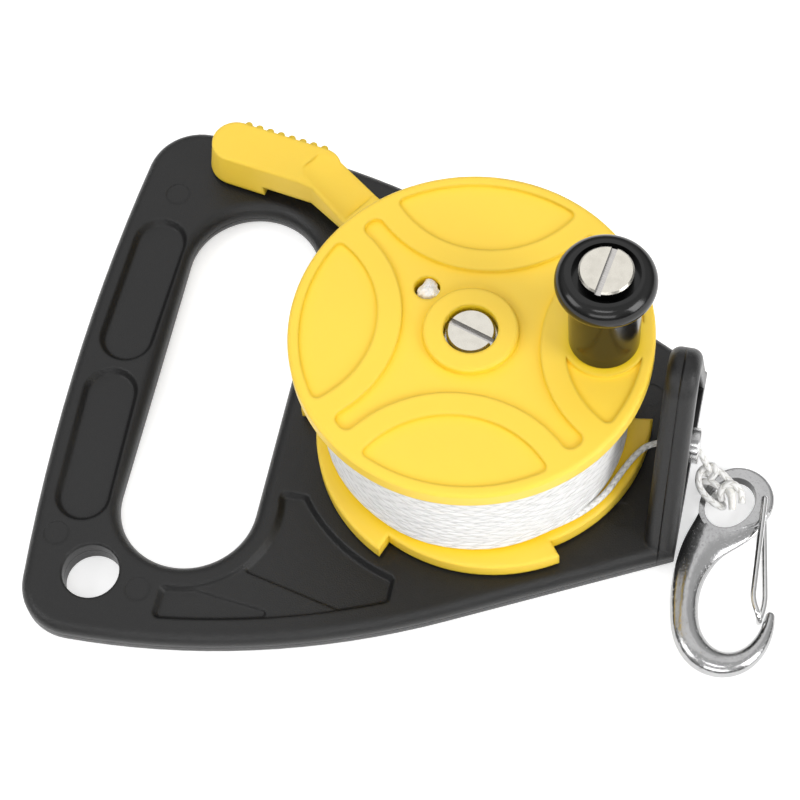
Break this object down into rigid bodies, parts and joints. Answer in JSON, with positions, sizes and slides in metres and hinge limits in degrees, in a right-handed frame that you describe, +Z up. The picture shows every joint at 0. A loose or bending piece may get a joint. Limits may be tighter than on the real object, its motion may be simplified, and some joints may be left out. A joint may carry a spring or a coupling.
{
  "type": "dive reel",
  "caption": "hand-held dive reel: flat handle frame with an upright line guide, crank spool on a bolt axle, ratchet lock lever, wound line and a sprung snap hook",
  "frame": {"origin": "on the spool's axle, at the frame plate's flat back face", "axes": "+Z up along the axle toward the crank knob, +X from the hand grip to the line guide, +Y to the lock lever's side"},
  "size_m": [0.2155, 0.1708, 0.0995],
  "materials": {
    "black_plastic": "satin moulded black",
    "gloss_black_plastic": "polished black",
    "yellow_plastic": "semi-matte moulded yellow",
    "nickel_steel": "nickel-plated, turned",
    "stainless_cast": "polished cast stainless",
    "nylon": "natural nylon",
    "insert_brass": "turned brass",
    "white_line": "braided nylon line"
  },
  "bodies": {
    "frame": {"frame": "black_plastic", "axle_bolt": "nickel_steel", "axle_nut": "nickel_steel", "thrust_washer": "nylon", "axle_washer": "nickel_steel", "line_eyelet": "nickel_steel", "lever_screw": "nickel_steel", "lever_washer": "nickel_steel", "lever_spring": "nickel_steel", "line_lead": "white_line", "line_loop": "white_line", "line_bight": "white_line", "line_knot": "white_line", "snap_hook": "stainless_cast"},
    "spool": {"spool": "yellow_plastic", "spool_bushing": "nylon", "ratchet_flange": "yellow_plastic", "line_core": "white_line", "line_winding": "white_line", "line_end_knot": "white_line", "knob_screw": "nickel_steel", "knob_washer": "nickel_steel", "knob_insert": "insert_brass"},
    "crank_knob": {"crank_knob": "gloss_black_plastic"},
    "lock_lever": {"lock_lever": "yellow_plastic"},
    "snap_gate": {"snap_gate": "stainless_cast"}
  },
  "joints": [
    {"name": "spool_spin", "type": "hinge", "parent": "frame", "child": "spool", "pos_m": [0, 0, 0.035], "axis": [0, 0, 1], "continuous": true},
    {"name": "knob_spin", "type": "hinge", "parent": "spool", "child": "crank_knob", "pos_m": [0.03585, 0.00421, 0.08], "axis": [0, 0, 1], "continuous": true},
    {"name": "lever_swing", "type": "hinge", "parent": "frame", "child": "lock_lever", "pos_m": [-0.0388, 0.05405, 0.015], "axis": [0, 0, 1], "range_deg": [-4.5, 6], "stiffness_Nm_per_rad": 0.08},
    {"name": "gate_swing", "type": "hinge", "parent": "frame", "child": "snap_gate", "pos_m": [0.0852, -0.0069, 0.0036], "axis": [0, 0, -1], "range_deg": [0, 18], "stiffness_Nm_per_rad": 0.02}
  ]
}
